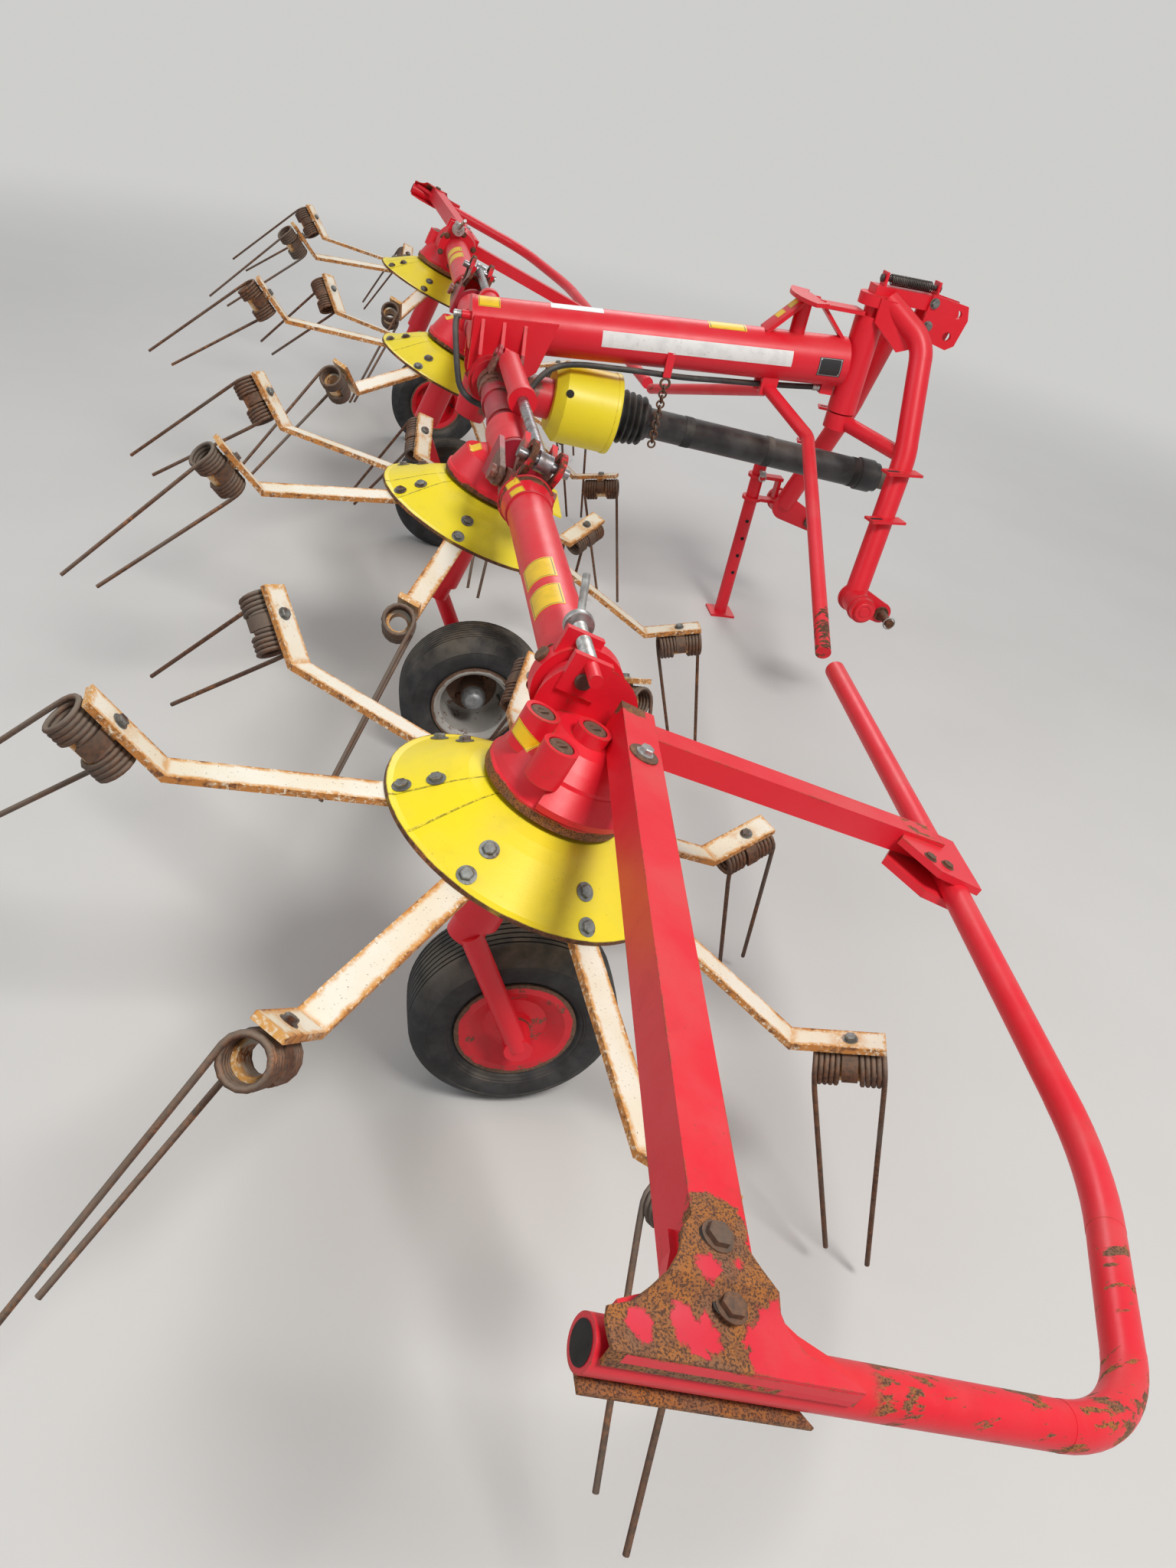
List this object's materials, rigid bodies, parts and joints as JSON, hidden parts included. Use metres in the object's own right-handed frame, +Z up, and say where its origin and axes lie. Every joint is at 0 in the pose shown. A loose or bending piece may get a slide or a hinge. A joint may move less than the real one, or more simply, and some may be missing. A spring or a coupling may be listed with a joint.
{
  "type": "mounted rotary hay tedder",
  "caption": "Mounted hay tedder in working position: rotors with spring tines on folding wings, guard hoops, main beam and three-point headstock.",
  "frame": {"origin": "on the ground under the middle of the bounding box", "axes": "+X forward to the tractor, +Y to the left of the machine, +Z up"},
  "size_m": [2.5381, 6.362, 1.376],
  "materials": {
    "red_paint": "weathered gloss red with scuffs and rust edges",
    "grey_rim": "dull grey with surface rust",
    "yellow_paint": "weathered gloss yellow",
    "cream_paint": "cream paint with orange rust along the edges",
    "rusty_steel": "brown rusted spring steel",
    "dark_steel": "dark worn steel",
    "chrome": "polished hard chrome",
    "black_plastic": "faded black plastic",
    "black_rubber": "dusty black rubber",
    "tyre": "dusty black tyre rubber"
  },
  "bodies": {
    "frame": {"main_beam": "red_paint", "centre_gearbox": "red_paint", "cross_tubes": "red_paint", "inner_gearboxes": "red_paint", "inner_guard_bars": "red_paint", "drive_bell": "yellow_paint", "shaft_guard": "black_plastic", "disc_shields": "yellow_paint", "pressure_hose": "black_rubber", "hanging_chain": "rusty_steel"},
    "headstock": {"headstock_bow": "red_paint", "top_link_bracket": "red_paint", "hitch_pins": "dark_steel", "centring_spring": "dark_steel"},
    "stand": {"parking_stand": "red_paint"},
    "drive_shaft": {"shaft_yoke": "dark_steel"},
    "wing_right": {"wing_tube_right": "red_paint", "outer_gearbox_right": "red_paint", "guard_right": "red_paint"},
    "wing_left": {"wing_tube_left": "red_paint", "outer_gearbox_left": "red_paint", "guard_left": "red_paint"},
    "ram_barrel_right": {"ram_barrel_right": "red_paint"},
    "ram_barrel_left": {"ram_barrel_left": "red_paint"},
    "ram_rod_right": {"ram_rod_right": "chrome"},
    "ram_rod_left": {"ram_rod_left": "chrome"},
    "rotor_1": {"disc_1": "yellow_paint", "arms_1": "cream_paint", "tines_1": "rusty_steel"},
    "wheel_1": {"tyre_1": "tyre", "rim_1": "red_paint"},
    "rotor_2": {"disc_2": "yellow_paint", "arms_2": "cream_paint", "tines_2": "rusty_steel"},
    "wheel_2": {"tyre_2": "tyre", "rim_2": "grey_rim"},
    "rotor_3": {"disc_3": "yellow_paint", "arms_3": "cream_paint", "tines_3": "rusty_steel"},
    "wheel_3": {"tyre_3": "tyre", "rim_3": "grey_rim"},
    "rotor_4": {"disc_4": "yellow_paint", "arms_4": "cream_paint", "tines_4": "rusty_steel"},
    "wheel_4": {"tyre_4": "tyre", "rim_4": "red_paint"}
  },
  "joints": [
    {"name": "fold_right", "type": "hinge", "parent": "frame", "child": "wing_right", "pos_m": [-0.1762, -0.985, 0.89021], "axis": [-0.9511, 0, 0.309], "range_deg": [-5, 90]},
    {"name": "ram_tilt_right", "type": "hinge", "parent": "frame", "child": "ram_barrel_right", "pos_m": [-0.14777, -0.17, 0.97771], "axis": [-0.9511, 0, 0.309], "range_deg": [-1.2, 0.3]},
    {"name": "ram_stroke_right", "type": "slide", "parent": "ram_barrel_right", "child": "ram_rod_right", "axis": [0, -1, 0], "range_m": [-0.18, 0.012]},
    {"name": "fold_left", "type": "hinge", "parent": "frame", "child": "wing_left", "pos_m": [-0.1762, 0.985, 0.89021], "axis": [0.9511, 0, -0.309], "range_deg": [-5, 90]},
    {"name": "ram_tilt_left", "type": "hinge", "parent": "frame", "child": "ram_barrel_left", "pos_m": [-0.14777, 0.17, 0.97771], "axis": [0.9511, 0, -0.309], "range_deg": [-1.2, 0.3]},
    {"name": "ram_stroke_left", "type": "slide", "parent": "ram_barrel_left", "child": "ram_rod_left", "axis": [0, 1, 0], "range_m": [-0.18, 0.012]},
    {"name": "rotor_turn_1", "type": "hinge", "parent": "wing_right", "child": "rotor_1", "pos_m": [-0.238, -2.1, 0.7], "axis": [0.309, 0, 0.9511], "continuous": true},
    {"name": "rotor_turn_2", "type": "hinge", "parent": "frame", "child": "rotor_2", "pos_m": [-0.238, -0.7, 0.7], "axis": [0.309, 0, 0.9511], "continuous": true},
    {"name": "rotor_turn_3", "type": "hinge", "parent": "frame", "child": "rotor_3", "pos_m": [-0.238, 0.7, 0.7], "axis": [0.309, 0, 0.9511], "continuous": true},
    {"name": "rotor_turn_4", "type": "hinge", "parent": "wing_left", "child": "rotor_4", "pos_m": [-0.238, 2.1, 0.7], "axis": [0.309, 0, 0.9511], "continuous": true},
    {"name": "wheel_turn_1", "type": "hinge", "parent": "wing_right", "child": "wheel_1", "pos_m": [-0.183, -2.012, 0.205], "axis": [0, 1, 0], "continuous": true},
    {"name": "wheel_turn_2", "type": "hinge", "parent": "frame", "child": "wheel_2", "pos_m": [-0.183, -0.788, 0.205], "axis": [0, 1, 0], "continuous": true},
    {"name": "wheel_turn_3", "type": "hinge", "parent": "frame", "child": "wheel_3", "pos_m": [-0.183, 0.788, 0.205], "axis": [0, 1, 0], "continuous": true},
    {"name": "wheel_turn_4", "type": "hinge", "parent": "wing_left", "child": "wheel_4", "pos_m": [-0.183, 2.012, 0.205], "axis": [0, 1, 0], "continuous": true},
    {"name": "headstock_swivel", "type": "hinge", "parent": "frame", "child": "headstock", "pos_m": [0.967, 0, 1.1], "axis": [0, 0, 1], "range_deg": [-12, 12]},
    {"name": "stand_slide", "type": "slide", "parent": "headstock", "child": "stand", "axis": [0, 0, 1], "range_m": [0, 0.2]},
    {"name": "drive_shaft_turn", "type": "hinge", "parent": "frame", "child": "drive_shaft", "pos_m": [1.15787, 0, 0.74859], "axis": [0.9971, 0, -0.0767], "continuous": true}
  ],
  "couplings": [
    {"joint": "rotor_turn_2", "follows": "rotor_turn_1", "ratio": -1},
    {"joint": "rotor_turn_3", "follows": "rotor_turn_1", "ratio": 1},
    {"joint": "rotor_turn_4", "follows": "rotor_turn_1", "ratio": -1},
    {"joint": "drive_shaft_turn", "follows": "rotor_turn_1", "ratio": 3},
    {"joint": "ram_tilt_right", "follows": "fold_right", "ratio": -0.0106},
    {"joint": "ram_stroke_right", "follows": "fold_right", "m_per_rad": -0.1095},
    {"joint": "ram_tilt_left", "follows": "fold_left", "ratio": -0.0106},
    {"joint": "ram_stroke_left", "follows": "fold_left", "m_per_rad": -0.1095}
  ]
}
